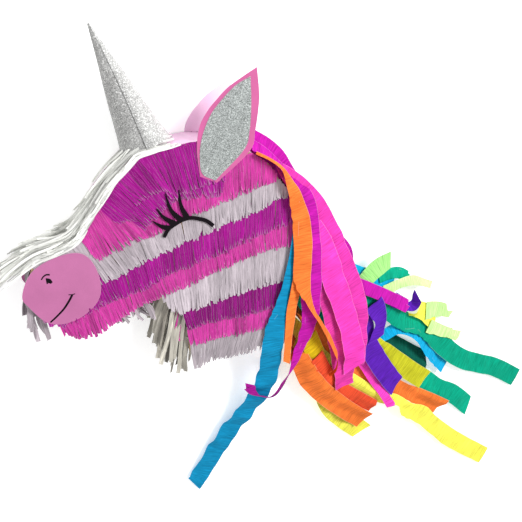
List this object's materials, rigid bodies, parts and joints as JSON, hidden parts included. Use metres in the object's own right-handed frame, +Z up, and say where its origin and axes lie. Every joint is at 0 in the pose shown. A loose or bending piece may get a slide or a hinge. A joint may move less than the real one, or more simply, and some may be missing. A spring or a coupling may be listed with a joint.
{
  "type": "unicorn-head pinata",
  "caption": "Unicorn-head pinata lying on one cheek: fringed crepe-paper box head with a rolled glitter horn, card ears and muzzle, closed eyes, tissue forelock and a mane of crepe streamers.",
  "frame": {"origin": "on the surface that the pinata lies on, under the middle of the far cheek", "axes": "+X from the muzzle towards the mane, +Y from the neck's base towards the crown, +Z up through the head's thickness to the near cheek"},
  "size_m": [1.0793, 1.0182, 0.083],
  "materials": {
    "board": "matt brown corrugated board",
    "tape": "masking tape",
    "crepe_magenta": "crinkled crepe paper",
    "crepe_pink": "crinkled crepe paper",
    "crepe_silver": "crinkled crepe paper",
    "crown_paper": "smooth pale pink paper",
    "disc_card": "smooth pink card",
    "ear_card": "smooth pink card",
    "glitter_card": "fine silver glitter",
    "black_card": "matt black card",
    "horn_glitter": "fine silver glitter",
    "tissue": "white tissue paper",
    "streamer_blue": "crinkled crepe paper",
    "streamer_orange": "crinkled crepe paper",
    "streamer_yellow": "crinkled crepe paper",
    "streamer_green": "crinkled crepe paper",
    "streamer_cyan": "crinkled crepe paper",
    "streamer_violet": "crinkled crepe paper",
    "streamer_olive": "crinkled crepe paper",
    "streamer_magenta": "crinkled crepe paper",
    "streamer_pink": "crinkled crepe paper"
  },
  "bodies": {
    "pinata": {"far_side_panel": "board", "near_side_panel": "board", "base_wall": "board", "nape_wall": "board", "crown_wall": "board", "brow_wall": "board", "muzzle_wall": "board", "jaw_wall": "board", "throat_wall": "board", "hanger_card": "board", "far_fringe_crown_magenta": "crepe_magenta", "far_fringe_brow_pink": "crepe_pink", "far_fringe_cheek_silver": "crepe_silver", "far_fringe_jaw_magenta": "crepe_magenta", "far_fringe_jaw_pink": "crepe_pink", "far_fringe_neck_silver": "crepe_silver", "far_fringe_neck_magenta": "crepe_magenta", "far_fringe_neck_pink": "crepe_pink", "far_fringe_base_silver": "crepe_silver", "near_fringe_crown_magenta": "crepe_magenta", "near_fringe_brow_pink": "crepe_pink", "near_fringe_cheek_silver": "crepe_silver", "near_fringe_jaw_magenta": "crepe_magenta", "near_fringe_jaw_pink": "crepe_pink", "near_fringe_neck_silver": "crepe_silver", "near_fringe_neck_magenta": "crepe_magenta", "near_fringe_neck_pink": "crepe_pink", "near_fringe_base_silver": "crepe_silver", "far_muzzle_disc": "disc_card", "far_ear_insert": "glitter_card", "far_ear": "ear_card", "far_eyelash": "black_card", "near_muzzle_disc": "disc_card", "near_ear_insert": "glitter_card", "near_ear": "ear_card", "near_eyelash": "black_card", "horn": "horn_glitter", "forelock": "tissue", "muzzle_fringe": "crepe_silver", "jaw_fringe": "crepe_silver", "throat_fringe": "crepe_silver", "crown_cover": "crown_paper", "streamer_cyan": "streamer_cyan", "streamer_green_short": "streamer_green", "streamer_orange_right": "streamer_orange", "streamer_yellow_long": "streamer_yellow", "streamer_turquoise": "streamer_cyan", "streamer_green_long": "streamer_green", "streamer_olive": "streamer_olive", "streamer_violet": "streamer_violet", "streamer_magenta_back": "streamer_magenta", "streamer_yellow_low": "streamer_yellow", "streamer_orange_low": "streamer_orange", "streamer_pink_back": "streamer_pink", "streamer_pink_front": "streamer_pink", "streamer_blue": "streamer_blue", "streamer_magenta_front": "streamer_magenta", "streamer_orange_front": "streamer_orange"},
    "flap": {"fill_flap": "board", "flap_tape": "tape"}
  },
  "joints": [
    {"name": "flap_hinge", "type": "hinge", "parent": "pinata", "child": "flap", "pos_m": [-0.046, -0.15, 0.0395], "axis": [0, 0, -1], "range_deg": [0, 95]}
  ]
}
